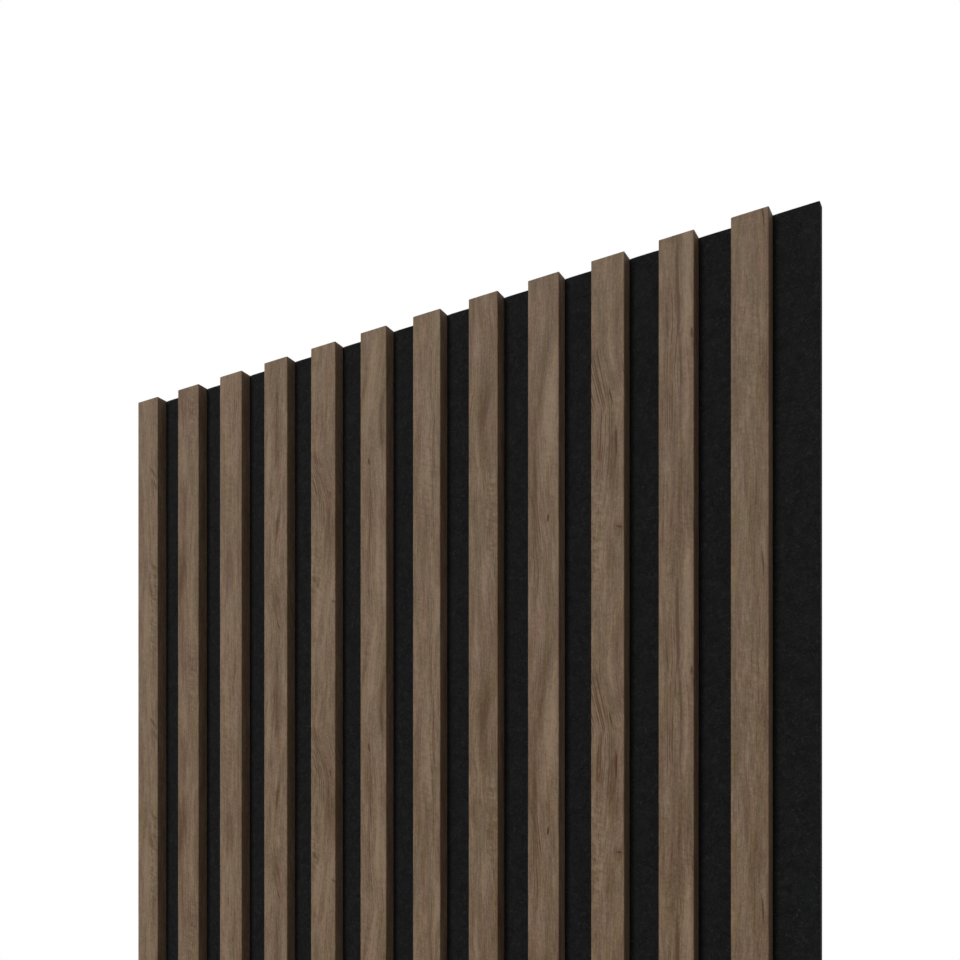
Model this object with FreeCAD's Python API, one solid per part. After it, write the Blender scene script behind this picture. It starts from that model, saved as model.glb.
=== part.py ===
# Acoustic slat wall panel: twelve slats on a board of pressed felt, as it hangs on a wall.
#
# X runs across the slats, Z runs along them, and the slats face -Y.
# The origin is the middle of the felt's back face, which lies on the wall plane Y = 0.
# All sizes are in millimetres.
#
# The felt is a whole number of slat pitches wide, so panels side by side keep the rhythm of
# the slats. The first slat stands past the felt's left edge and covers the joint with the
# neighbour, which leaves the last gap wider by the same amount.
#
# Each slat is a fibreboard core with a decor wrap round its face and both sides. Its cut ends
# show the core. Rows of staples driven through the felt from behind hold the slats.
import FreeCAD, Part
import os
from FreeCAD import Vector

# Whole panel
panel_length = 2400.0

# Slats
slat_count = 12
slat_pitch = 50.0
slat_width = 25.0
slat_thickness = 10.4
slat_edge_radius = 0.8
wrap_thickness = 0.4

# Felt board
felt_thickness = 9.0
joint_cover = 5.0

# Staples
staple_crown = 10.0
staple_bite = 5.0
staple_wire_width = 1.2
staple_wire_thickness = 0.6
staple_point = 1.0
staples_per_slat = 6
staple_end_distance = 150.0

# Places that follow from the sizes above
felt_width = slat_count * slat_pitch
felt_left = -felt_width / 2
panel_bottom = -panel_length / 2
seat_plane = -felt_thickness
staple_tip = seat_plane - staple_bite


def slat_left(index):
    """Left side of a slat, counted from 0 at the panel's left edge."""
    return felt_left - joint_cover + index * slat_pitch


def slat_bar(index, inset=0.0):
    """A slat's full section as a bar, set in from its face and sides, with eased front edges."""
    width = slat_width - 2 * inset
    thickness = slat_thickness - inset
    corner = Vector(slat_left(index) + inset, seat_plane - thickness, panel_bottom)
    bar = Part.makeBox(width, thickness, panel_length, corner)
    radius = slat_edge_radius - inset
    if radius <= 0:
        return bar
    front_edges = []
    for edge in bar.Edges:
        runs_along_slat = abs(edge.tangentAt(edge.FirstParameter).z) > 0.5
        if runs_along_slat and edge.CenterOfMass.y < seat_plane - thickness / 2:
            front_edges.append(edge)
    return bar.makeFillet(radius, front_edges)


def staple(middle_x, middle_z):
    """One flat-wire staple: its crown is flush with the felt's back, its legs bite in the core."""
    half = staple_crown / 2
    wire = staple_wire_thickness
    outline = [
        (-half, 0),
        (half, 0),
        (half, staple_tip),
        (half - wire, staple_tip + staple_point),
        (half - wire, -wire),
        (-half + wire, -wire),
        (-half + wire, staple_tip + staple_point),
        (-half, staple_tip),
    ]
    low_z = middle_z - staple_wire_width / 2
    corners = [Vector(middle_x + x, y, low_z) for x, y in outline]
    profile = Part.Face(Part.makePolygon(corners + corners[:1]))
    return profile.extrude(Vector(0, 0, staple_wire_width))


def staple_column(index):
    """The staples of one slat, in the middle of what rests on the felt."""
    seat_left = max(slat_left(index), felt_left)
    seat_right = slat_left(index) + slat_width
    middle_x = (seat_left + seat_right) / 2
    first_z = panel_bottom + staple_end_distance
    spacing = (panel_length - 2 * staple_end_distance) / (staples_per_slat - 1)
    return [staple(middle_x, first_z + row * spacing) for row in range(staples_per_slat)]


def felt_backing(staples):
    """The felt board, with the room that the staples take in it."""
    corner = Vector(felt_left, seat_plane, panel_bottom)
    board = Part.makeBox(felt_width, felt_thickness, panel_length, corner)
    return board.cut(staples)


def slat_core(index, staples):
    """The fibreboard core, with the holes that its staples make in its back."""
    return slat_bar(index, wrap_thickness).cut(staples)


def slat_wrap(index):
    """The decor wrap: the slat's full section without the core."""
    return slat_bar(index).cut(slat_bar(index, wrap_thickness))


def build():
    """Every piece of the panel, by name."""
    columns = [staple_column(index) for index in range(slat_count)]
    staples = [piece for column in columns for piece in column]
    pieces = {"felt_backing": felt_backing(staples), "staples": Part.makeCompound(staples)}
    for index in range(slat_count):
        pieces[f"slat_{index + 1:02d}_core"] = slat_core(index, columns[index])
        pieces[f"slat_{index + 1:02d}_wrap"] = slat_wrap(index)
    return pieces


os.makedirs("parts", exist_ok=True)
for name, shape in build().items():
    shape.exportStep(f"parts/{name}.step")
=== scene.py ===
import math
from typing import NamedTuple

import bpy
import numpy as np
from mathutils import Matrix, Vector, noise


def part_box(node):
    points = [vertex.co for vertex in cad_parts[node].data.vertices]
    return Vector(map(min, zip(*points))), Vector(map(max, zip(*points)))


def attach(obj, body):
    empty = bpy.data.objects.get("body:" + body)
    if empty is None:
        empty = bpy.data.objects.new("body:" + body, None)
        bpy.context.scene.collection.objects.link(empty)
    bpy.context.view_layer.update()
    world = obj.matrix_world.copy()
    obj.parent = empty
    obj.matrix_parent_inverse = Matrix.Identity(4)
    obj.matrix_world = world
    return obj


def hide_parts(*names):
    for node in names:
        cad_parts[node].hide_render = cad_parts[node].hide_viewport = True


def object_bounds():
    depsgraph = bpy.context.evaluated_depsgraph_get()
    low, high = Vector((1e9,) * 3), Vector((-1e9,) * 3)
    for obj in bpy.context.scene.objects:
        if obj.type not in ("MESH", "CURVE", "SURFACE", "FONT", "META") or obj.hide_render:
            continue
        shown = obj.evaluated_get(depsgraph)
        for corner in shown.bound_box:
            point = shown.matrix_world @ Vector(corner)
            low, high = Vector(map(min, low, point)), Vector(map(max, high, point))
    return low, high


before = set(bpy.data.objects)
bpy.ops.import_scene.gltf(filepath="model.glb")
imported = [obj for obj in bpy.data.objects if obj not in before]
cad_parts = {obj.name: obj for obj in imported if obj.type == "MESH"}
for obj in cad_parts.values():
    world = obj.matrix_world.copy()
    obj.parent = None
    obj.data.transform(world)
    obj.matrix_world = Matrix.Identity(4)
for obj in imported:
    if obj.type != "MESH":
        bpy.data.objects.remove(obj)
cad_low, cad_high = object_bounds()

MM = 0.001

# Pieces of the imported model, counted from the panel's left
SLATS = sorted(name.removesuffix("_wrap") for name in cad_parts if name.endswith("_wrap"))
WRAP_BOXES = [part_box(f"{slat}_wrap") for slat in SLATS]
FELT_LOW, FELT_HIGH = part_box("felt_backing")
STAPLES_LOW, STAPLES_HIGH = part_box("staples")

# Edges that turn by more than this stay sharp
SHARP_EDGE = math.radians(35)

# Slats
WRAP_SKIN = 0.4 * MM
SLAT_EDGE_RADIUS = 0.8 * MM
EDGE_STEPS = 7

# The print on the slats, in mm. Its figure comes again every PRINT_REPEAT, while it moves on in
# the noise by 1 in every PRINT_DRIFT. More than PRINT_KEPT below the top it moves on by 1 more in
# every PRINT_CHANGE, and its spots reach their full change FADE_RUN further down. The next slat
# starts SLAT_STEP on in the noise.
PRINT_REPEAT = 227.0
PRINT_KEPT = 480.0
PRINT_DRIFT = 1500.0
PRINT_CHANGE = 420.0
FADE_RUN = 200.0
FADE_STRENGTH = 4.0
SLAT_STEP = 7.31


class Blotches(NamedTuple):
    """How the print is uneven: its blotches' size in mm, their place in the noise, and fineness."""
    across: float
    along: float
    turn: float
    detail: float = 1.0
    roughness: float = 0.5


# What moves the figure's outlines and the grain lines, and how many mm lie between the furthest
# pushes one way and the other
OUTLINE_ASIDE = Blotches(9, 24, 17.0)
OUTLINE_ASIDE_MM = 4.0
OUTLINE_ALONG = Blotches(14, 30, 29.0)
OUTLINE_ALONG_MM = 16.0
GRAIN_WANDER = Blotches(16, 42, 3.0)
GRAIN_WANDER_MM = 6.5

# What makes the spots stronger or weaker, where they change
SPOT_CHANGE = Blotches(25, 50, 53.0)

# Layers of the print's tone, and how many levels of 255 lie between a layer's dark and its pale
TONE_LAYERS = {
    "bands": (Blotches(7, 48, 1.3), 38.0),
    "streaks": (Blotches(2.2, 30, 5.1, 1.0, 0.6), 30.0),
    "fibres": (Blotches(0.95, 10, 9.2, 2.0, 0.65), 48.0),
    "speckle": (Blotches(1.5, 1.6, 12.4, 2.0, 0.7), 42.0),
}
CURL_TONE = 60.0

# Levels of 255 that a full mark and a full growth line add
MARK_TONE = 19.0
LINE_TONE = -84.0

# Growth lines, with their gap in mm. The pairs say where a line is gone and where it is full: by
# the distance from its middle in shares of the gap, by its own strength, and by the fibres.
LINE_GAP = 2.0
LINE_GAPS = Blotches(5, 70, 21.0, 0.0)
LINE_GAPS_SHARE = 3.0
LINE_STRENGTHS = Blotches(2.6, 30, 61.0, 0.0)
LINE_SHAPE = (0.25, 0.05)
LINE_FADES = (-0.22, 0.12)
LINE_BREAKS = (0.22, -0.16)
LINES_EVERYWHERE = 0.08

# Curl: short waves across the grain, a little lower at their right
CURL_WAVES = Blotches(6, 2.4, 25.0)
CURL_SLOPE = 0.4
CURL_EVERYWHERE = 0.14

# How far out a spot is gone and where it is full, in shares of its half sizes
MARK_EDGE = (1.5, 0.1)
WINDOW_EDGE = (1.3, 0.4)
FLECK_EDGE = (1.0, 0.35)

# The print's colours. The pale side of its tone bends over at PALE_BEND and levels off, and
# TONE_RANGE levels lie between the dark oak and the pale. The shifts are light.
PALE_BEND = 20.0
PALE_LIMIT = 21.5
TONE_RANGE = 57
OAK_DARK = (80, 60, 41)
OAK_MIDDLE = (109.5, 90, 71.5)
OAK_PALE = (140, 119, 98)
WARMTH = Blotches(4, 34, 31.0)
WARM_SHIFT = (0.017, 0.005, -0.018)
PINKNESS = Blotches(7, 36, 37.0, 0.5)
PINK_SHIFT = (0.013, -0.012, 0.003)
PORES = Blotches(0.3, 4.5, 43.0)
PORE_EDGE = (0.1, 0.24)
PORE_SHARE = 0.3
FLECK_BROWN = (58, 34, 3)

# The print's surface: how deep flecks and pores sink beside the fibres, and how rough it is
FLECK_SINK = 0.6
DECOR_ROUGHNESS = 0.58
DECOR_ROUGHNESS_SPREAD = 0.25

# Each slat's figure, in mm across from its face's left edge and below its top, for the slats from
# the panel's left. Past 25 mm across lies a slat's right side.
# shade: how much paler the whole slat is, in levels of 255.
# bend, where the grain lines step aside: its middle below the top, push, half length.
# lines and curl, the windows where they show: across, below, strength, half width, half length,
# lean. Marks and flecks are given in the same way. A mark is pale where its strength is above 0,
# and dark where it is below.
PRINT_MARKS = 7
PRINT_FLECKS = 3
NO_SPOT = (0, 0, 0, 1, 1, 0)
FIGURES = [
    {
        "shade": 3,
        "bend": (70, 5, 22),
        "lines": (20, 80, 0.6, 5, 30, 0.3),
        "curl": (19, 190, 0.95, 6, 48, 0),
        "marks": [
            (19.5, 68, -1.3, 2.2, 5.5, 0.75), (23.5, 60, -0.9, 3, 22, 0),
            (19.5, 151, -1.1, 2.4, 3.4, 0.9), (17, 178, -0.8, 2.5, 8, 0.3),
            (11, 195, 0.7, 4.5, 34, 0), (21.5, 78, -1.0, 2.0, 4.5, 0.6),
        ],
        "flecks": [(21, 80, 0.3, 1.6, 6, 0.8)],
    },
    {
        "shade": -3,
        "bend": (110, -4, 60),
        "lines": (15, 30, 0.3, 4, 30, 0),
        "curl": (16, 25, 0.7, 5, 34, 0),
        "marks": [
            (16, 18, -0.55, 6, 12, 0), (6, 66, 0.65, 5, 18, 0), (5, 162, -1.2, 5.5, 26, -0.04),
            (17, 180, 0.5, 2, 36, 0), (3, 200, -0.6, 3.5, 32, 0),
        ],
        "flecks": [],
    },
    {
        "shade": 2,
        "bend": (60, 2, 60),
        "lines": (16, 30, 0.4, 3, 26, 0),
        "curl": (9, 80, 0.35, 8, 70, 0),
        "marks": [
            (22, 95, -0.5, 3, 70, 0), (8, 30, 0.4, 5, 24, 0), (11, 170, -0.45, 7, 22, 0),
            (10, 215, 0.5, 5, 28, 0), (16, 28, -0.5, 1, 22, 0),
        ],
        "flecks": [],
    },
    {
        "shade": -1,
        "bend": (207, 9, 24),
        "lines": (13, 70, 0.5, 3, 50, 0),
        "curl": (14, 185, 0.4, 5, 12, 0),
        "marks": [
            (5.5, 70, 0.8, 2.6, 45, 0), (13.3, 50, -0.5, 2, 48, 0.02),
            (14.8, 134, -1.1, 1.8, 17, -0.1), (12, 196, -0.7, 5, 16, 0.1),
            (15.5, 181, 0.6, 3, 7, 0), (14.5, 140, -0.9, 2.6, 13, -0.15),
            (12.5, 205, -0.6, 4, 13, 0.1),
        ],
        "flecks": [(15.5, 223, 0.7, 1.0, 6, 0.35)],
    },
    {
        "shade": 0,
        "bend": (106, 17, 30),
        "lines": (8, 114, 1.0, 8, 36, 0.2),
        "curl": (5, 192, 0.75, 6, 30, 0),
        "marks": [
            (19, 150, -0.75, 5, 26, 0), (22, 80, -0.4, 4, 40, 0), (6, 215, 0.5, 5, 25, 0),
            (7, 101, -0.7, 1.1, 20, 0.36), (4.5, 192, -0.9, 1.9, 3.4, 1.3),
            (5.5, 91, -0.8, 1.6, 8, 0.35), (4.8, 116, -0.9, 1.0, 12, 0.33),
        ],
        "flecks": [
            (19.4, 122, 0.8, 0.8, 4, 0.15), (23.6, 211, 0.5, 2.6, 1.6, 0),
            (4.5, 15, 0.25, 2.5, 2.5, 0),
        ],
    },
    {
        "shade": 1,
        "bend": (48, -9, 34),
        "lines": (9, 160, 0.5, 4, 50, 0),
        "curl": (6, 30, 0.3, 5, 20, 0),
        "marks": [
            (10, 45, 0.95, 4, 38, -0.14), (20.5, 58, -0.7, 4, 26, 0),
            (20.5, 88, -0.5, 2, 18, 0.14), (8.7, 188, -0.7, 1.5, 30, 0),
            (15.5, 168, 0.5, 2.5, 40, 0), (20, 78, -0.6, 3.5, 26, 0.02),
            (9.6, 150, -0.6, 1.5, 20, 0),
        ],
        "flecks": [(8.6, 106, 0.85, 1.3, 4.5, 0.05)],
    },
    {
        "shade": 1,
        "bend": (120, 2, 60),
        "lines": (18, 60, 0.6, 3, 60, 0),
        "curl": (12, 130, 0.4, 8, 40, 0),
        "marks": [
            (18.3, 115, -0.8, 0.5, 95, 0), (18.5, 38, 0.5, 2.5, 34, 0),
            (6, 182, -0.45, 5, 34, 0), (12, 120, 0.15, 6, 30, 0), (19, 212, 0.4, 2.5, 28, 0),
        ],
        "flecks": [],
    },
    {
        "shade": -4,
        "bend": (80, -8, 26),
        "lines": (19, 195, 0.25, 4, 26, 0.1),
        "curl": (20, 168, 0.65, 5, 42, 0),
        "marks": [
            (7.5, 38, 0.6, 3, 30, 0), (13.5, 80, -1.15, 7, 19, -0.14),
            (12.5, 110, -1.05, 5, 27, 0.03), (8, 148, 0.6, 1.4, 26, 0),
            (11.6, 210, 0.55, 3.5, 24, 0), (18, 205, 0.4, 1.5, 18, 0.25),
            (19.5, 135, -0.4, 6, 44, 0),
        ],
        "flecks": [],
    },
    {
        "shade": -3,
        "bend": (75, -12, 58),
        "lines": (8, 190, 0.5, 5, 40, 0),
        "curl": (18, 110, 0.3, 6, 40, 0),
        "marks": [
            (17.5, 105, 0.8, 5.5, 42, -0.1), (11.3, 76, -0.85, 3.8, 36, -0.12),
            (5.3, 155, -1.0, 2, 46, 0.02), (15.5, 28, -0.6, 2.5, 24, -0.03),
            (12, 145, 0.5, 3, 16, 0), (31, 113, 0.9, 4, 300, 0),
        ],
        "flecks": [(16, 176, 0.9, 1.1, 4.5, 0.05)],
    },
    {
        "shade": -3,
        "bend": (88, 11.5, 27),
        "lines": (7, 110, 1.0, 8.5, 52, 0.08),
        "curl": (4, 190, 0.85, 5, 48, 0),
        "marks": [
            (18.5, 89, -0.6, 4, 9, 0), (16.5, 140, -0.95, 4, 30, 0.03),
            (20.5, 190, -0.9, 3.5, 7, 0), (19, 40, -0.45, 4, 40, 0), (7, 207, 0.5, 4.5, 32, 0),
            (7.2, 130, -1.0, 1.0, 22, -0.02), (4.8, 83, -1.1, 0.9, 19, 0.24),
        ],
        "flecks": [
            (15, 97, 0.85, 1.1, 9, 0.22), (18.2, 132, 0.9, 1.1, 16, 0.03),
            (20.6, 189, 0.75, 3.2, 1.4, 0),
        ],
    },
    {
        "shade": -7.5,
        "bend": (60, 3, 50),
        "lines": (9, 90, 0.6, 6, 60, 0),
        "curl": (18, 200, 0.3, 6, 30, 0),
        "marks": [
            (13.3, 32, -1.5, 1.4, 36, 0.01), (20, 38, 0.9, 4, 40, 0), (22, 226, 0.6, 3, 36, 0),
            (15.5, 185, -0.7, 1.8, 40, 0), (15.3, 98, -0.8, 1, 48, 0.02),
            (19.6, 112, 0.55, 2.2, 58, 0), (7, 170, 0.35, 4, 50, 0),
        ],
        "flecks": [(23.3, 68, 0.75, 1.1, 4.5, 0)],
    },
    {
        "shade": -4,
        "bend": (120, 2, 60),
        "lines": (12, 120, 0.1, 9, 90, 0),
        "curl": (12, 100, 0.3, 10, 60, 0),
        "marks": [
            (17, 195, -0.5, 4, 32, 0), (7, 200, 0.4, 3.5, 32, 0), (8, 35, 0.35, 3, 26, 0),
            (22.5, 110, -0.4, 2.5, 80, 0), (2, 125, -0.3, 2, 50, 0), (13.5, 172, 0.4, 2.5, 26, 0),
        ],
        "flecks": [(20.8, 231, 0.8, 0.9, 15, 0.05)],
    },
]

# Fibreboard's look. Its dense layers begin DENSE_FROM of the way from its middle to its faces.
FIBRE_DARK = (142, 114, 86)
FIBRE_PALE = (190, 161, 128)
FIBRE_DENSE = (124, 97, 71)
FIBRE_CONTRAST = (0.3, 0.7)
DENSE_FROM = 0.55
DENSE_SHARE = 0.5

# Staples
STAPLE_ROWS = 6
STAPLE_CROWN = 10 * MM
WIRE_WIDTH = 1.2 * MM
WIRE_THICKNESS = 0.6 * MM
WIRE_BEND = 1.1 * MM
WIRE_BEND_STEPS = 5
WIRE_CORNER = 0.12 * MM
WIRE_CORNER_STEPS = 2
STAPLE_SLANT = math.radians(1.5)
STAPLE_SEED = 4

# The wire's look, with its drawn lines to a metre along the crown and across it
ZINC_DARK = (150, 152, 156)
ZINC_PALE = (205, 207, 210)
ZINC_CONTRAST = (0.3, 0.7)
ZINC_ROUGHNESS = 0.22
ZINC_ROUGHNESS_SPREAD = 0.3
DRAWN_LINES = (90.0, 2600.0, 2600.0)

# The felt's mesh: the spacing of its lines, with closer ones at its edges and round the staples
FELT_MESH_ACROSS = 5 * MM
FELT_MESH_ALONG = 16 * MM
FELT_CLOSEST_LINES = 0.25 * MM
FELT_EDGE_LINES = (0.9 * MM, 2.4 * MM)
FELT_CROWN_STEPS = [STAPLE_CROWN / 2 + step * MM for step in (0, 0.8, 2.2)]
FELT_WIRE_STEPS = [step * MM for step in (0, 0.6, 1.2, 2.4, 5)]

# The felt's shape. Its back and face lie a little inside the board's full thickness. Waves are
# given by their length and their place in the noise. Past the last slat the face is crowned as if
# another slat stood FELT_FREE_RUN beyond the board.
FELT_SOFT_EDGE = 0.35 * MM
FELT_EDGE_SHARES = (0.12, 0.5, 0.88)
FELT_BACK_INSET = 0.05 * MM
FELT_BACK_UNEVEN = 0.12 * MM
FELT_BACK_WAVES = (45 * MM, 0.5)
FELT_FACE_INSET = 0.02 * MM
FELT_FACE_WAVES = (30 * MM, 7.5)
FELT_CROWN = 0.3 * MM
FELT_CROWN_LEAST = 0.6
FELT_CROWN_SPREAD = 0.8
FELT_FREE_RUN = 12 * MM
DIMPLE_DEPTH = WIRE_THICKNESS + 0.05 * MM
DIMPLE_REACH = 5 * MM

# The felt's look. The pairs say where a thread is gone and where it is full: by the distance from
# the middle of one noise, and by another that cuts it short.
FELT_DARK = (13.8, 14.1, 14.5)
FELT_PALE = (28.6, 29.1, 29.2)
FELT_CONTRAST = (0.34, 0.66)
THREAD_GREY = (51, 51.5, 52.5)
THREAD_SHARE = 0.35
THREAD_RISE = 0.4
THREAD_SHAPE = (0.04, 0.01)
THREAD_CUTS = (0.48, 0.6)

# Camera, fitted to the edges of the slats in the 960 pixel frame
PHOTO_SIZE = 960
FOCAL_PIXELS = 1050.06
HORIZON_PIXEL = 879.13
CAMERA_YAW = math.radians(29.346)
CAMERA_PLACE = Vector((440.69, -705.40, 763.04)) * MM
SENSOR = 36.0

# Light
KEY_SIDE = math.radians(-18)
KEY_HEIGHT = math.radians(28)
KEY_SOFTNESS = math.radians(22)
KEY_STRENGTH = 2.35
BACK_SIDE = math.radians(180)
BACK_HEIGHT = math.radians(12)
BACK_SOFTNESS = math.radians(20)
BACK_STRENGTH = 1.5
AMBIENT = 0.235

# Floor. Between the two distances of FLOOR_FADE it turns white to the camera.
FLOOR_PALE = (236, 236, 234)
FLOOR_REACH = 6.0
FLOOR_FADE = (1.2, 5.0)


# Trees of nodes

def wire_up(tree, node, wires):
    """Gives a node its inputs, by name or number: each is a socket or a plain value."""
    for key, wire in wires.items():
        if isinstance(wire, bpy.types.NodeSocket):
            tree.links.new(wire, node.inputs[key])
        else:
            node.inputs[key].default_value = wire


def add(tree, kind, wires=None, **settings):
    """Adds a node with its settings and inputs."""
    made = tree.nodes.new(kind)
    for name, value in settings.items():
        setattr(made, name, value)
    wire_up(tree, made, wires or {})
    return made


def maths(tree, operation, *values):
    """The result of a sum, product or other operation on sockets and numbers."""
    kind = "ShaderNodeMath"
    return add(tree, kind, dict(enumerate(values)), operation=operation).outputs[0]


def vector_maths(tree, operation, *values):
    """The node that does a sum, product or other operation on vectors."""
    return add(tree, "ShaderNodeVectorMath", dict(enumerate(values)), operation=operation)


def combined(tree, x=0.0, y=0.0, z=0.0):
    """A vector made of three sockets or numbers."""
    return add(tree, "ShaderNodeCombineXYZ", {0: x, 1: y, 2: z}).outputs[0]


def separated(tree, vector):
    """The three parts of a vector."""
    return add(tree, "ShaderNodeSeparateXYZ", {0: vector}).outputs


def stored(tree, label, output="Vector"):
    """What the piece's mesh keeps under this name."""
    return add(tree, "ShaderNodeAttribute", attribute_name=label).outputs[output]


def blend_colours(tree, share, first, second):
    """A mix of two colours, each a socket or a colour."""
    wires = {0: share, 6: first, 7: second}
    return add(tree, "ShaderNodeMix", wires, data_type="RGBA").outputs[2]


def ramp(tree, value, gone, full):
    """0 where the value is at gone or short of it, 1 from full on, and a smooth slope between."""
    wires = {"Value": value, "From Min": gone, "From Max": full}
    return add(tree, "ShaderNodeMapRange", wires, interpolation_type="SMOOTHSTEP").outputs[0]


def srgb(red, green, blue):
    """A colour given as 0 to 255 on a screen, as light."""
    light = []
    for level in (red, green, blue):
        share = level / 255
        light.append(share / 12.92 if share <= 0.04045 else ((share + 0.055) / 1.055) ** 2.4)
    return (*light, 1.0)


# Pieces made by trees

def new_shape_tree(name, inputs):
    """A Geometry Nodes tree with named inputs: returns the tree, its inputs and its output node."""
    tree = bpy.data.node_groups.new(name, "GeometryNodeTree")
    tree.interface.new_socket("Geometry", in_out="INPUT", socket_type="NodeSocketGeometry")
    tree.interface.new_socket("Geometry", in_out="OUTPUT", socket_type="NodeSocketGeometry")
    for label, kind in inputs.items():
        tree.interface.new_socket(label, in_out="INPUT", socket_type=f"NodeSocket{kind}")
    return tree, tree.nodes.new("NodeGroupInput").outputs, tree.nodes.new("NodeGroupOutput")


def finish_shape_tree(tree, given, result, shape):
    """Ends a tree: plain mesh, smooth but for its sharp edges, with the material."""
    real = add(tree, "GeometryNodeRealizeInstances", {"Geometry": shape})
    smooth = add(tree, "GeometryNodeSetShadeSmooth", {0: real.outputs[0]}, domain="FACE")
    angle = add(tree, "GeometryNodeInputMeshEdgeAngle")
    sharp = maths(tree, "GREATER_THAN", angle.outputs[0], SHARP_EDGE)
    wires = {0: smooth.outputs[0], "Selection": sharp, "Shade Smooth": False}
    edged = add(tree, "GeometryNodeSetShadeSmooth", wires, domain="EDGE")
    wires = {"Geometry": edged.outputs[0], "Material": given["Material"]}
    finished = add(tree, "GeometryNodeSetMaterial", wires)
    tree.links.new(finished.outputs[0], result.inputs[0])


def fillet(tree, curve, steps, radius):
    """The curve with its corners rounded."""
    wires = {"Curve": curve, "Count": steps, "Radius": radius, "Limit Radius": True}
    return add(tree, "GeometryNodeFilletCurve", wires, mode="POLY").outputs[0]


def bent_path(tree, corners, steps, radius):
    """An open line through four corners, rounded at the two between its ends."""
    outline = add(tree, "GeometryNodeCurvePrimitiveQuadrilateral", mode="POINTS")
    for number, corner in enumerate(corners):
        tree.links.new(corner, outline.inputs[f"Point {number + 1}"])
    opened = add(tree, "GeometryNodeSetSplineCyclic", {0: outline.outputs[0], "Cyclic": False})
    bent = fillet(tree, opened.outputs[0], steps, radius)
    return add(tree, "GeometryNodeSetCurveNormal", {0: bent}, mode="Z_UP").outputs[0]


def rectangle(tree, width, height):
    """A closed section with four corners."""
    wires = {"Width": width, "Height": height}
    made = add(tree, "GeometryNodeCurvePrimitiveQuadrilateral", wires, mode="RECTANGLE")
    return made.outputs[0]


def swept(tree, path, section):
    """The solid that a section makes along a path."""
    wires = {"Curve": path, "Profile Curve": section, "Fill Caps": True}
    return add(tree, "GeometryNodeCurveToMesh", wires).outputs[0]


def made_with(tree, name, values, start=None):
    """The plain object that a tree makes from a start mesh and its named values."""
    source = bpy.data.objects.new(f"{name}_source", start or bpy.data.meshes.new(name))
    bpy.context.scene.collection.objects.link(source)
    modifier = source.modifiers.new(tree.name, "NODES")
    modifier.node_group = tree
    sockets = {item.name: item.identifier for item in tree.interface.items_tree}
    for label, value in values.items():
        modifier[sockets[label]] = value
    graph = bpy.context.evaluated_depsgraph_get()
    mesh = bpy.data.meshes.new_from_object(source.evaluated_get(graph))
    bpy.data.objects.remove(source)
    mesh.name = name
    return as_piece(name, mesh)


def as_piece(name, mesh):
    """An object at the origin that holds the mesh."""
    piece = bpy.data.objects.new(name, mesh)
    bpy.context.scene.collection.objects.link(piece)
    return piece


# Decor

def new_material(name):
    """A material with its tree and its surface shader."""
    material = bpy.data.materials.new(name)
    material.use_nodes = True
    return material, material.node_tree, material.node_tree.nodes["Principled BSDF"]


def on_roll(tree, across, below):
    """A point of the print on a roll whose girth is one repeat."""
    radius = PRINT_REPEAT / (2 * math.pi)
    angle = maths(tree, "DIVIDE", below, radius)
    ahead = maths(tree, "MULTIPLY", maths(tree, "COSINE", angle), radius)
    up = maths(tree, "MULTIPLY", maths(tree, "SINE", angle), radius)
    return combined(tree, across, ahead, up)


def within_repeat(tree, below, middle):
    """How far a point lies below the middle that is nearest, of all that the repeat gives."""
    down = maths(tree, "SUBTRACT", below, middle)
    return maths(tree, "WRAP", down, PRINT_REPEAT / 2, -PRINT_REPEAT / 2)


def print_noise(tree, place, blotches):
    """Uneven levels about 0 on the print."""
    scale = (1 / blotches.across, 1 / blotches.along, 1 / blotches.along)
    wires = {
        "Vector": vector_maths(tree, "MULTIPLY", place["round"], scale).outputs[0],
        "W": maths(tree, "ADD", place["seed"], blotches.turn),
        "Scale": 1.0,
        "Detail": blotches.detail,
        "Roughness": blotches.roughness,
    }
    made = add(tree, "ShaderNodeTexNoise", wires, noise_dimensions="4D")
    return maths(tree, "SUBTRACT", made.outputs["Fac"], 0.5)


def print_spot(tree, place, label, edge):
    """How far a spot of the print covers this point, from the slat's own row of the table."""
    middle_across, middle_below, strength = separated(tree, stored(tree, label))
    half_width, half_length, lean = separated(tree, stored(tree, f"{label}_shape"))
    down = within_repeat(tree, place["below"], middle_below)
    aside = maths(tree, "SUBTRACT", place["across"], middle_across)
    aside = maths(tree, "SUBTRACT", aside, maths(tree, "MULTIPLY", down, lean))
    aside = maths(tree, "DIVIDE", aside, half_width)
    down = maths(tree, "DIVIDE", down, half_length)
    reach = vector_maths(tree, "LENGTH", combined(tree, aside, down)).outputs["Value"]
    strength = maths(tree, "MULTIPLY", strength, place["fade"])
    return maths(tree, "MULTIPLY", ramp(tree, reach, *edge), strength)


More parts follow.
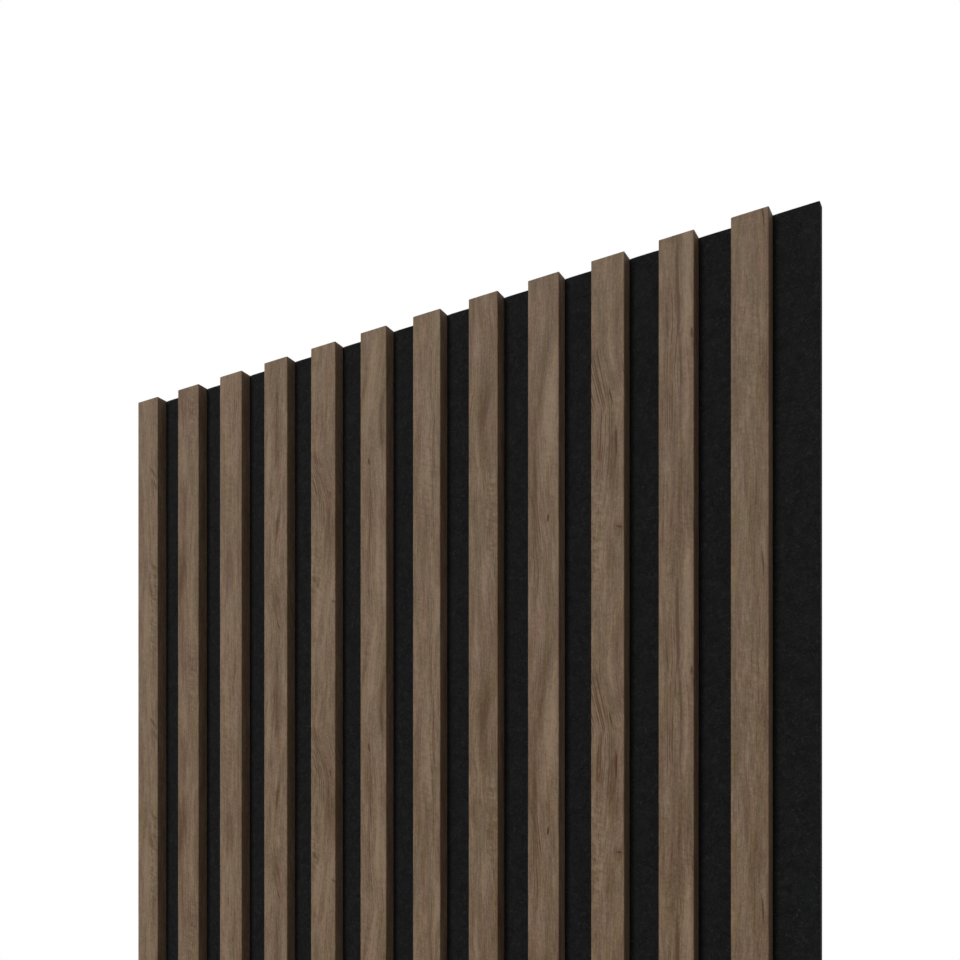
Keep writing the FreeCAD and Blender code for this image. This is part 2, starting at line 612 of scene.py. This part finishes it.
def decor_place(tree):
    """Where a point lies on the print, in mm, with the figure's bends and its slow drift."""
    across, below, slat = separated(tree, stored(tree, "decor"))
    lower = maths(tree, "MAXIMUM", maths(tree, "SUBTRACT", below, PRINT_KEPT), 0.0)
    drift = maths(tree, "DIVIDE", below, PRINT_DRIFT)
    drift = maths(tree, "MULTIPLY_ADD", lower, 1 / PRINT_CHANGE, drift)
    place = {"seed": maths(tree, "MULTIPLY_ADD", slat, SLAT_STEP, drift)}

    # The figure's outlines are uneven, and its spots change in strength further down
    place["round"] = on_roll(tree, across, below)
    aside = print_noise(tree, place, OUTLINE_ASIDE)
    along = print_noise(tree, place, OUTLINE_ALONG)
    place["across"] = maths(tree, "MULTIPLY_ADD", aside, OUTLINE_ASIDE_MM, across)
    place["below"] = maths(tree, "MULTIPLY_ADD", along, OUTLINE_ALONG_MM, below)
    fade = maths(tree, "MULTIPLY", ramp(tree, lower, 0.0, FADE_RUN), FADE_STRENGTH)
    change = print_noise(tree, place, SPOT_CHANGE)
    place["fade"] = maths(tree, "MULTIPLY_ADD", change, fade, 1.0)

    # The grain lines step aside at the slat's bend and come back slowly
    middle, push, half = separated(tree, stored(tree, "bend"))
    down = within_repeat(tree, below, middle)
    step = ramp(tree, down, maths(tree, "MULTIPLY", half, -1.0), half)
    back = maths(tree, "MULTIPLY_ADD", down, 1 / PRINT_REPEAT, 0.5)
    moved = maths(tree, "MULTIPLY", maths(tree, "SUBTRACT", step, back), push)
    wander = print_noise(tree, place, GRAIN_WANDER)
    line = maths(tree, "SUBTRACT", across, moved)
    place["line"] = maths(tree, "MULTIPLY_ADD", wander, GRAIN_WANDER_MM, line)
    place["round"] = on_roll(tree, place["line"], below)
    slanted = maths(tree, "MULTIPLY_ADD", across, -CURL_SLOPE, below)
    place["slanted"] = on_roll(tree, across, slanted)
    return place


def growth_lines(tree, place, fibres):
    """Thin lines side by side, unevenly strong and broken by the fibres: 1 in a line's middle."""
    uneven_gap = maths(tree, "MULTIPLY", print_noise(tree, place, LINE_GAPS), LINE_GAPS_SHARE)
    ring = maths(tree, "MULTIPLY_ADD", place["line"], 1 / LINE_GAP, uneven_gap)
    from_middle = maths(tree, "PINGPONG", ring, 0.5)
    thin = ramp(tree, from_middle, *LINE_SHAPE)
    strong = ramp(tree, print_noise(tree, place, LINE_STRENGTHS), *LINE_FADES)
    ragged = ramp(tree, fibres, *LINE_BREAKS)
    thin = maths(tree, "MULTIPLY", maths(tree, "MULTIPLY", thin, strong), ragged)
    window = print_spot(tree, place, "lines", WINDOW_EDGE)
    window = maths(tree, "ADD", window, LINES_EVERYWHERE)
    return maths(tree, "MULTIPLY", thin, window)


def curl_waves(tree, place):
    """Short waves that cross the grain."""
    leaning = {**place, "round": place["slanted"]}
    window = print_spot(tree, place, "curl", WINDOW_EDGE)
    window = maths(tree, "ADD", window, CURL_EVERYWHERE)
    return maths(tree, "MULTIPLY", print_noise(tree, leaning, CURL_WAVES), window)


def print_tone(tree, place):
    """The tone of the print in levels of 255 about its mean, and the fibres that are part of it."""
    tone = stored(tree, "shade", "Fac")
    layers = {}
    for label, (blotches, levels) in TONE_LAYERS.items():
        layers[label] = print_noise(tree, place, blotches)
        tone = maths(tree, "MULTIPLY_ADD", layers[label], levels, tone)
    for number in range(PRINT_MARKS):
        mark = print_spot(tree, place, f"mark_{number + 1}", MARK_EDGE)
        tone = maths(tree, "MULTIPLY_ADD", mark, MARK_TONE, tone)
    lines = growth_lines(tree, place, layers["fibres"])
    tone = maths(tree, "MULTIPLY_ADD", lines, LINE_TONE, tone)
    tone = maths(tree, "MULTIPLY_ADD", curl_waves(tree, place), CURL_TONE, tone)

    # The pale side of the print is flatter than the dark side
    level = maths(tree, "TANH", maths(tree, "DIVIDE", tone, PALE_BEND))
    tone = maths(tree, "MINIMUM", tone, maths(tree, "MULTIPLY", level, PALE_LIMIT))
    return tone, layers["fibres"]


def print_colour(tree, place, tone):
    """The print's wood colour for a tone, warmer or pinker in places."""
    share = maths(tree, "MULTIPLY_ADD", tone, 1 / TONE_RANGE, 0.5)
    wood = add(tree, "ShaderNodeValToRGB", {0: share})
    shades = wood.color_ramp.elements
    shades[0].color = srgb(*OAK_DARK)
    shades[1].color = srgb(*OAK_PALE)
    shades.new(0.5).color = srgb(*OAK_MIDDLE)
    warm = print_noise(tree, place, WARMTH)
    pink = print_noise(tree, place, PINKNESS)
    colour = vector_maths(tree, "MULTIPLY_ADD", WARM_SHIFT, warm, wood.outputs[0]).outputs[0]
    return vector_maths(tree, "MULTIPLY_ADD", PINK_SHIFT, pink, colour).outputs[0]


def flecks_and_pores(tree, place):
    """The dark dots and dashes: how far they cover a point."""
    flecks = 0.0
    for number in range(PRINT_FLECKS):
        fleck = print_spot(tree, place, f"fleck_{number + 1}", FLECK_EDGE)
        flecks = maths(tree, "MAXIMUM", flecks, fleck)
    pores = ramp(tree, print_noise(tree, place, PORES), *PORE_EDGE)
    return maths(tree, "MAXIMUM", maths(tree, "MULTIPLY", pores, PORE_SHARE), flecks)


def decor_material():
    """Matt grey-brown oak print."""
    material, tree, surface = new_material("grey_brown_oak_decor")
    place = decor_place(tree)
    tone, fibres = print_tone(tree, place)
    colour = print_colour(tree, place, tone)
    dots = flecks_and_pores(tree, place)
    height = maths(tree, "MULTIPLY_ADD", dots, -FLECK_SINK, fibres)
    bump = add(tree, "ShaderNodeBump", {"Height": height, "Strength": 0.3, "Distance": 0.06 * MM})
    rough = maths(tree, "MULTIPLY_ADD", fibres, DECOR_ROUGHNESS_SPREAD, DECOR_ROUGHNESS)
    wire_up(tree, surface, {
        "Base Color": blend_colours(tree, dots, colour, srgb(*FLECK_BROWN)),
        "Roughness": rough,
        "Normal": bump.outputs[0],
        "Specular IOR Level": 0.12,
    })
    return material


# Other materials

def piece_noise(tree, place, scale, detail, **settings):
    """Noise fixed to the piece, with about scale blotches to a metre."""
    wires = {"Vector": place, "Scale": scale, "Detail": detail, **settings}
    return add(tree, "ShaderNodeTexNoise", wires).outputs["Fac"]


def two_noises(tree, first, second, share):
    """A share of the first noise and the rest of the second."""
    rest = maths(tree, "MULTIPLY", second, 1 - share)
    return maths(tree, "MULTIPLY_ADD", first, share, rest)


def fibreboard_material():
    """Sawn fibreboard: fine pressed fibres, denser and darker towards the faces."""
    material, tree, surface = new_material("sawn_fibreboard")
    place = add(tree, "ShaderNodeTexCoord").outputs["Object"]
    speck = piece_noise(tree, place, scale=1300.0, detail=3.0)
    clump = piece_noise(tree, place, scale=320.0, detail=2.0)
    tone = two_noises(tree, speck, clump, share=0.6)
    pale = ramp(tree, tone, *FIBRE_CONTRAST)
    fibre = blend_colours(tree, pale, srgb(*FIBRE_DARK), srgb(*FIBRE_PALE))

    # The dense layers lie towards the core's front and back
    core_low, core_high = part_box(f"{SLATS[0]}_core")
    middle = (core_low.y + core_high.y) / 2
    half = (core_high.y - core_low.y) / 2
    depth = separated(tree, place)[1]
    offset = maths(tree, "ABSOLUTE", maths(tree, "SUBTRACT", depth, middle))
    dense = maths(tree, "MULTIPLY", ramp(tree, offset, half * DENSE_FROM, half), DENSE_SHARE)
    bump = add(tree, "ShaderNodeBump", {"Height": tone, "Strength": 0.5, "Distance": 0.15 * MM})
    wire_up(tree, surface, {
        "Base Color": blend_colours(tree, dense, fibre, srgb(*FIBRE_DENSE)),
        "Normal": bump.outputs[0],
        "Roughness": 0.85,
        "Specular IOR Level": 0.2,
    })
    return material


def felt_material():
    """Needled near-black felt: matted fibres, with short pale threads that curl."""
    material, tree, surface = new_material("needled_felt")
    place = add(tree, "ShaderNodeTexCoord").outputs["Object"]
    cloud = piece_noise(tree, place, scale=160.0, detail=2.0)
    matted = piece_noise(tree, place, scale=1000.0, detail=3.0, Roughness=0.6, Distortion=1.2)
    tone = two_noises(tree, cloud, matted, share=0.25)
    pale = ramp(tree, tone, *FELT_CONTRAST)
    ground = blend_colours(tree, pale, srgb(*FELT_DARK), srgb(*FELT_PALE))

    # A thread runs where one noise passes its middle, and another noise cuts it short
    curling = piece_noise(tree, place, scale=420.0, detail=1.5, Distortion=0.8)
    cut = piece_noise(tree, place, scale=300.0, detail=0.0)
    thread = maths(tree, "ABSOLUTE", maths(tree, "SUBTRACT", curling, 0.5))
    thread = ramp(tree, thread, *THREAD_SHAPE)
    thread = maths(tree, "MULTIPLY", thread, ramp(tree, cut, *THREAD_CUTS))
    seen = maths(tree, "MULTIPLY", thread, THREAD_SHARE)
    height = maths(tree, "MULTIPLY_ADD", thread, THREAD_RISE, matted)
    bump = add(tree, "ShaderNodeBump", {"Height": height, "Strength": 0.7, "Distance": 0.4 * MM})
    wire_up(tree, surface, {
        "Base Color": blend_colours(tree, seen, ground, srgb(*THREAD_GREY)),
        "Normal": bump.outputs[0],
        "Roughness": 1.0,
        "Specular IOR Level": 0.05,
        "Sheen Weight": 0.042,
        "Sheen Roughness": 0.5,
    })
    return material


def staple_material():
    """Drawn steel wire with a dull zinc coat."""
    material, tree, surface = new_material("zinc_coated_wire")
    place = add(tree, "ShaderNodeTexCoord").outputs["Object"]
    drawn = add(tree, "ShaderNodeMapping", {"Vector": place, "Scale": DRAWN_LINES})
    lines = piece_noise(tree, drawn.outputs[0], scale=1.0, detail=3.0)
    bloom = piece_noise(tree, place, scale=700.0, detail=2.0)
    tone = two_noises(tree, lines, bloom, share=0.5)
    pale = ramp(tree, tone, *ZINC_CONTRAST)
    wire_up(tree, surface, {
        "Base Color": blend_colours(tree, pale, srgb(*ZINC_DARK), srgb(*ZINC_PALE)),
        "Roughness": maths(tree, "MULTIPLY_ADD", tone, ZINC_ROUGHNESS_SPREAD, ZINC_ROUGHNESS),
        "Metallic": 1.0,
    })
    return material


# Slats

def wrap_path(tree, given):
    """The middle line of the wrap's skin, round the slat half way up it."""
    half_skin = maths(tree, "MULTIPLY", given["Skin"], 0.5)
    left = maths(tree, "ADD", given["Left"], half_skin)
    right = maths(tree, "SUBTRACT", maths(tree, "ADD", given["Left"], given["Width"]), half_skin)
    face = maths(tree, "ADD", maths(tree, "SUBTRACT", given["Seat"], given["Thickness"]), half_skin)
    middle = maths(tree, "MULTIPLY_ADD", given["Length"], 0.5, given["Bottom"])
    section = ((left, given["Seat"]), (left, face), (right, face), (right, given["Seat"]))
    corners = [combined(tree, x, y, middle) for x, y in section]
    bend = maths(tree, "SUBTRACT", given["Edge radius"], half_skin)
    return bent_path(tree, corners, given["Edge steps"], bend)


def wrap_print_place(tree, given, run):
    """Where a point of the wrap lies on the print: mm across, mm below the top, and which slat."""
    side = maths(tree, "SUBTRACT", given["Thickness"], given["Edge radius"])
    corner = maths(tree, "MULTIPLY", given["Edge radius"], math.pi / 2 - 1)
    across = maths(tree, "SUBTRACT", run, maths(tree, "ADD", side, corner))
    height = separated(tree, add(tree, "GeometryNodeInputPosition").outputs[0])[2]
    top = maths(tree, "ADD", given["Bottom"], given["Length"])
    below = maths(tree, "SUBTRACT", top, height)
    across = maths(tree, "DIVIDE", across, MM)
    below = maths(tree, "DIVIDE", below, MM)
    return combined(tree, across, below, given["Slat"])


def wrap_tree():
    """The decor wrap: a strip as wide as the slat is long, bent round the slat's face and sides."""
    places = ("Left", "Seat", "Bottom", "Slat")
    sizes = ("Width", "Thickness", "Length", "Skin", "Edge radius")
    inputs = {**dict.fromkeys(places + sizes, "Float"), "Edge steps": "Int", "Material": "Material"}
    tree, given, result = new_shape_tree("decor_wrap", inputs)
    kept = add(tree, "GeometryNodeCaptureAttribute", {0: wrap_path(tree, given)})
    kept.capture_items.new("FLOAT", "Across")
    run = add(tree, "GeometryNodeSplineParameter").outputs["Length"]
    tree.links.new(run, kept.inputs["Across"])
    shell = swept(tree, kept.outputs[0], rectangle(tree, given["Skin"], given["Length"]))
    place = wrap_print_place(tree, given, kept.outputs["Across"])
    wires = {0: shell, "Name": "decor", "Value": place}
    kind = "GeometryNodeStoreNamedAttribute"
    printed = add(tree, kind, wires, data_type="FLOAT_VECTOR", domain="POINT")
    finish_shape_tree(tree, given, result, printed.outputs[0])
    return tree


def store_figure(mesh, figure):
    """Keeps the slat's row of the table on its mesh, for the decor to read."""
    spots = {"lines": figure["lines"], "curl": figure["curl"]}
    for label, count in (("mark", PRINT_MARKS), ("fleck", PRINT_FLECKS)):
        padded = figure[f"{label}s"] + [NO_SPOT] * count
        for number in range(count):
            spots[f"{label}_{number + 1}"] = padded[number]
    vectors = {"bend": figure["bend"]}
    for label, spot in spots.items():
        vectors[label] = spot[:3]
        vectors[f"{label}_shape"] = spot[3:]
    for label, vector in vectors.items():
        layer = mesh.attributes.new(label, "FLOAT_VECTOR", "POINT")
        layer.data.foreach_set("vector", list(vector) * len(mesh.vertices))
    layer = mesh.attributes.new("shade", "FLOAT", "POINT")
    layer.data.foreach_set("value", [figure["shade"]] * len(mesh.vertices))


def make_wraps(material):
    """The twelve decor wraps, each with its own figure."""
    tree = wrap_tree()
    for number, (slat, (low, high)) in enumerate(zip(SLATS, WRAP_BOXES)):
        values = {
            "Left": low.x, "Width": high.x - low.x, "Seat": high.y, "Thickness": high.y - low.y,
            "Skin": WRAP_SKIN, "Edge radius": SLAT_EDGE_RADIUS, "Edge steps": EDGE_STEPS,
            "Bottom": low.z, "Length": high.z - low.z, "Slat": float(number), "Material": material,
        }
        wrap = made_with(tree, f"{slat}_decor", values)
        store_figure(wrap.data, FIGURES[number])
        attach(wrap, "root")
        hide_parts(f"{slat}_wrap")


def dress_cores(material):
    """Finishes the cores, which keep their own solids: only their sawn ends show."""
    for slat in SLATS:
        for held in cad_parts[f"{slat}_core"].material_slots:
            held.material = material


# Staples

def staple_places():
    """The middle of each staple's crown, in the felt's back face."""
    first = STAPLES_LOW.z + WIRE_WIDTH / 2
    last = STAPLES_HIGH.z - WIRE_WIDTH / 2
    rows = np.linspace(first, last, STAPLE_ROWS)
    columns = [(max(low.x, FELT_LOW.x) + high.x) / 2 for low, high in WRAP_BOXES]
    return [(x, FELT_HIGH.y, z) for x in columns for z in rows]


def staple_path(tree, given):
    """The middle line of the wire: up one leg, along the crown and down the other leg."""
    half_wire = maths(tree, "MULTIPLY", given["Wire thickness"], 0.5)
    right = maths(tree, "SUBTRACT", maths(tree, "MULTIPLY", given["Crown"], 0.5), half_wire)
    left = maths(tree, "MULTIPLY", right, -1.0)
    back = maths(tree, "MULTIPLY", half_wire, -1.0)
    tip = maths(tree, "MULTIPLY", given["Depth"], -1.0)
    outline = ((left, tip), (left, back), (right, back), (right, tip))
    corners = [combined(tree, x, y) for x, y in outline]
    return bent_path(tree, corners, WIRE_BEND_STEPS, given["Bend"])


def staple_tree():
    """A flat wire bent to a staple, set on every point of the start mesh."""
    sizes = ("Crown", "Depth", "Wire width", "Wire thickness", "Bend", "Corner", "Slant")
    inputs = {**dict.fromkeys(sizes, "Float"), "Material": "Material"}
    tree, given, result = new_shape_tree("flat_wire_staple", inputs)
    section = rectangle(tree, given["Wire thickness"], given["Wire width"])
    section = fillet(tree, section, WIRE_CORNER_STEPS, given["Corner"])
    wire = swept(tree, staple_path(tree, given), section)

    # Each staple leans a little, one way or the other
    other_way = maths(tree, "MULTIPLY", given["Slant"], -1.0)
    wires = {2: other_way, 3: given["Slant"], "Seed": STAPLE_SEED}
    lean = add(tree, "FunctionNodeRandomValue", wires).outputs[1]
    turn = add(tree, "FunctionNodeEulerToRotation", {0: combined(tree, y=lean)})
    wires = {"Points": given["Geometry"], "Instance": wire, "Rotation": turn.outputs[0]}
    placed = add(tree, "GeometryNodeInstanceOnPoints", wires)
    finish_shape_tree(tree, given, result, placed.outputs[0])
    return tree


def make_staples(material):
    """All the staples, as one piece."""
    start = bpy.data.meshes.new("staple_places")
    start.from_pydata(staple_places(), [], [])
    values = {
        "Crown": STAPLE_CROWN, "Depth": STAPLES_HIGH.y - STAPLES_LOW.y, "Wire width": WIRE_WIDTH,
        "Wire thickness": WIRE_THICKNESS, "Bend": WIRE_BEND, "Corner": WIRE_CORNER,
        "Slant": STAPLE_SLANT, "Material": material,
    }
    staples = made_with(staple_tree(), "wire_staples", values, start)
    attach(staples, "root")
    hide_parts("staples")


# Felt

def both_ways(steps):
    """The steps to both sides, in order."""
    return sorted({sign * step for step in steps for sign in (-1, 1)})


def mesh_lines(low, high, spacing, dense_at, dense_steps):
    """Even lines from low to high, with closer ones at both ends and round each place named."""
    count = round((high - low) / spacing)
    lines = list(np.linspace(low, high, count + 1))
    lines += [low + step for step in FELT_EDGE_LINES] + [high - step for step in FELT_EDGE_LINES]
    for place in dense_at:
        lines += [place + step for step in dense_steps if low < place + step < high]
    lines = sorted(lines)
    kept = [lines[0]]
    for line in lines[1:-1]:
        if min(line - kept[-1], lines[-1] - line) > FELT_CLOSEST_LINES:
            kept.append(line)
    return np.array(kept + [lines[-1]])


def uneven(x, z, scale, lift):
    """Smooth ups and downs of the pressed felt, from 0 to 1."""
    values = [noise.noise(Vector((a / scale, b / scale, lift))) for a, b in zip(x, z)]
    return np.clip(np.array(values) * 0.5 + 0.5, 0, 1)


def dimple_depth(x, z, places):
    """How far the felt's back is pulled in by the staples."""
    depth = np.zeros_like(x)
    for place_x, _, place_z in places:
        beside = np.maximum(np.abs(x - place_x) - STAPLE_CROWN / 2, 0)
        beyond = np.maximum(np.abs(z - place_z) - WIRE_WIDTH / 2, 0)
        distance = np.hypot(beside, beyond)
        fall = np.clip(1 - distance / DIMPLE_REACH, 0, 1) ** 3
        depth = np.maximum(depth, fall)
    return depth * DIMPLE_DEPTH


def gap_crown(x):
    """How far the felt stands out between two slats, where nothing presses on it."""
    rise = np.zeros_like(x)
    starts = [high.x for _, high in WRAP_BOXES]
    ends = [low.x for low, _ in WRAP_BOXES[1:]] + [FELT_HIGH.x + FELT_FREE_RUN]
    for start, end in zip(starts, ends):
        share = np.clip((x - start) / (end - start), 0, 1)
        rise = np.maximum(rise, 1 - (2 * share - 1) ** 4)
    return rise * FELT_CROWN


def felt_back(x, z, places):
    """The plane of the felt's back at each point: slightly uneven, with the staples' dimples."""
    waves = uneven(x, z, *FELT_BACK_WAVES) * FELT_BACK_UNEVEN
    return FELT_HIGH.y - FELT_BACK_INSET - np.maximum(dimple_depth(x, z, places), waves)


def felt_face(x, z):
    """The plane of the felt's face at each point: crowned between the slats, not quite evenly."""
    share = FELT_CROWN_LEAST + FELT_CROWN_SPREAD * uneven(x, z, *FELT_FACE_WAVES)
    return FELT_LOW.y + (FELT_FACE_INSET - gap_crown(x) * share)


def inward(values):
    """1 at the lowest of the values, -1 at the highest, and 0 between."""
    return np.where(values == values.min(), 1, np.where(values == values.max(), -1, 0))


def rim_order(across, along):
    """The outer points of a grid as one loop, numbered as the mesh numbers them."""
    bottom = [(i, 0) for i in range(across)]
    right = [(across - 1, j) for j in range(1, along)]
    top = [(i, along - 1) for i in range(across - 2, -1, -1)]
    left = [(0, j) for j in range(along - 2, 0, -1)]
    return np.array([i * along + j for i, j in bottom + right + top + left])


def board_quads(across, along, rings):
    """A board's faces, all outwards: its back and face are grids, and rings of points join them."""
    count = across * along
    quads = []
    for i in range(across - 1):
        for j in range(along - 1):
            a = i * along + j
            b = a + along
            c = b + 1
            d = a + 1
            quads.append((a, d, c, b))
            quads.append((count + a, count + b, count + c, count + d))
    for first, second in zip(rings, rings[1:]):
        corners = np.column_stack([first, second, np.roll(second, -1), np.roll(first, -1)])
        quads += [tuple(quad) for quad in corners.tolist()]
    return quads


def felt_mesh(places):
    """A closed board: two grids whose rims are drawn in, and an edge between them at full size."""
    columns = sorted({place[0] for place in places})
    rows = sorted({place[2] for place in places})
    crown_steps = both_ways(FELT_CROWN_STEPS)
    wire_steps = both_ways(FELT_WIRE_STEPS)
    xs = mesh_lines(FELT_LOW.x, FELT_HIGH.x, FELT_MESH_ACROSS, columns, crown_steps)
    zs = mesh_lines(FELT_LOW.z, FELT_HIGH.z, FELT_MESH_ALONG, rows, wire_steps)
    x, z = (part.ravel() for part in np.meshgrid(xs, zs, indexing="ij"))
    back = np.column_stack([x, felt_back(x, z, places), z])
    face = np.column_stack([x, felt_face(x, z), z])
    rim = rim_order(len(xs), len(zs))
    edge = [face[rim] * (1 - share) + back[rim] * share for share in FELT_EDGE_SHARES]
    drawn_in = np.column_stack([inward(x), np.zeros_like(x), inward(z)]) * FELT_SOFT_EDGE
    back += drawn_in
    face += drawn_in

    count = len(back)
    middle_rings = [2 * count + len(rim) * n + np.arange(len(rim)) for n in range(len(edge))]
    rings = [count + rim, *middle_rings, rim]
    points = np.concatenate([back, face, *edge])
    mesh = bpy.data.meshes.new("felt_board")
    mesh.from_pydata(points.tolist(), [], board_quads(len(xs), len(zs), rings))
    mesh.update()
    mesh.polygons.foreach_set("use_smooth", [True] * len(mesh.polygons))
    return mesh


def make_felt(material):
    """The felt board."""
    mesh = felt_mesh(staple_places())
    mesh.materials.append(material)
    felt = as_piece("felt_board", mesh)
    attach(felt, "root")
    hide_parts("felt_backing")


# Stage

def floor_material():
    """Pale and matt at the panel's foot, and white to the camera further away."""
    material, tree, surface = new_material("pale_floor")
    wire_up(tree, surface, {
        "Base Color": srgb(*FLOOR_PALE), "Roughness": 0.9, "Specular IOR Level": 0.1,
    })
    place = add(tree, "ShaderNodeTexCoord").outputs["Object"]
    flat = vector_maths(tree, "MULTIPLY", place, (1.0, 1.0, 0.0))
    distance = vector_maths(tree, "LENGTH", flat.outputs[0]).outputs["Value"]
    white = add(tree, "ShaderNodeEmission", {"Color": (1, 1, 1, 1), "Strength": 1.0})
    seen = add(tree, "ShaderNodeLightPath").outputs["Is Camera Ray"]
    fade = maths(tree, "MULTIPLY", ramp(tree, distance, *FLOOR_FADE), seen)
    both = add(tree, "ShaderNodeMixShader", {0: fade, 1: surface.outputs[0], 2: white.outputs[0]})
    tree.links.new(both.outputs[0], tree.nodes["Material Output"].inputs[0])
    return material


def make_floor():
    """A wide flat floor at the panel's foot."""
    sides = ((-1, -1), (1, -1), (1, 1), (-1, 1))
    corners = [(x * FLOOR_REACH, y * FLOOR_REACH, cad_low.z) for x, y in sides]
    mesh = bpy.data.meshes.new("floor")
    mesh.from_pydata(corners, [], [(0, 1, 2, 3)])
    mesh.materials.append(floor_material())
    as_piece("floor", mesh)


def make_background():
    """White to the camera and in reflections, and a low even light for everything else."""
    world = bpy.data.worlds.new("studio")
    world.use_nodes = True
    bpy.context.scene.world = world
    tree = world.node_tree
    rays = add(tree, "ShaderNodeLightPath").outputs
    shown = maths(tree, "MAXIMUM", rays["Is Camera Ray"], rays["Is Glossy Ray"])
    shown = maths(tree, "MAXIMUM", shown, rays["Is Transmission Ray"])
    level = maths(tree, "MULTIPLY_ADD", shown, 1.0 - AMBIENT, AMBIENT)
    wire_up(tree, tree.nodes["Background"], {"Color": (1, 1, 1, 1), "Strength": level})


def make_sun(name, side, height, softness, strength):
    """A soft far lamp. Its side is counted from the panel's front towards its right."""
    lamp = bpy.data.lights.new(name, "SUN")
    lamp.energy = strength
    lamp.angle = softness
    sun = bpy.data.objects.new(name, lamp)
    level = math.cos(height)
    towards = Vector((math.sin(side) * level, -math.cos(side) * level, math.sin(height)))
    sun.rotation_mode = "QUATERNION"
    sun.rotation_quaternion = towards.to_track_quat("Z", "Y")
    bpy.context.scene.collection.objects.link(sun)


def make_camera():
    """A level camera whose frame is shifted up, so upright edges stay upright in the picture."""
    lens = bpy.data.cameras.new("camera")
    lens.sensor_width = SENSOR
    lens.lens = FOCAL_PIXELS / PHOTO_SIZE * SENSOR
    lens.shift_y = (HORIZON_PIXEL - PHOTO_SIZE / 2) / PHOTO_SIZE
    lens.clip_start = 0.01
    lens.clip_end = 100.0
    camera = bpy.data.objects.new("camera", lens)
    camera.location = CAMERA_PLACE
    camera.rotation_euler = (math.pi / 2, 0, CAMERA_YAW)
    bpy.context.scene.collection.objects.link(camera)
    bpy.context.scene.camera = camera


make_camera()
make_background()
make_sun("key", KEY_SIDE, KEY_HEIGHT, KEY_SOFTNESS, KEY_STRENGTH)
make_sun("back_fill", BACK_SIDE, BACK_HEIGHT, BACK_SOFTNESS, BACK_STRENGTH)
make_floor()
make_wraps(decor_material())
dress_cores(fibreboard_material())
make_felt(felt_material())
make_staples(staple_material())
bpy.context.scene.view_settings.view_transform = "Standard"
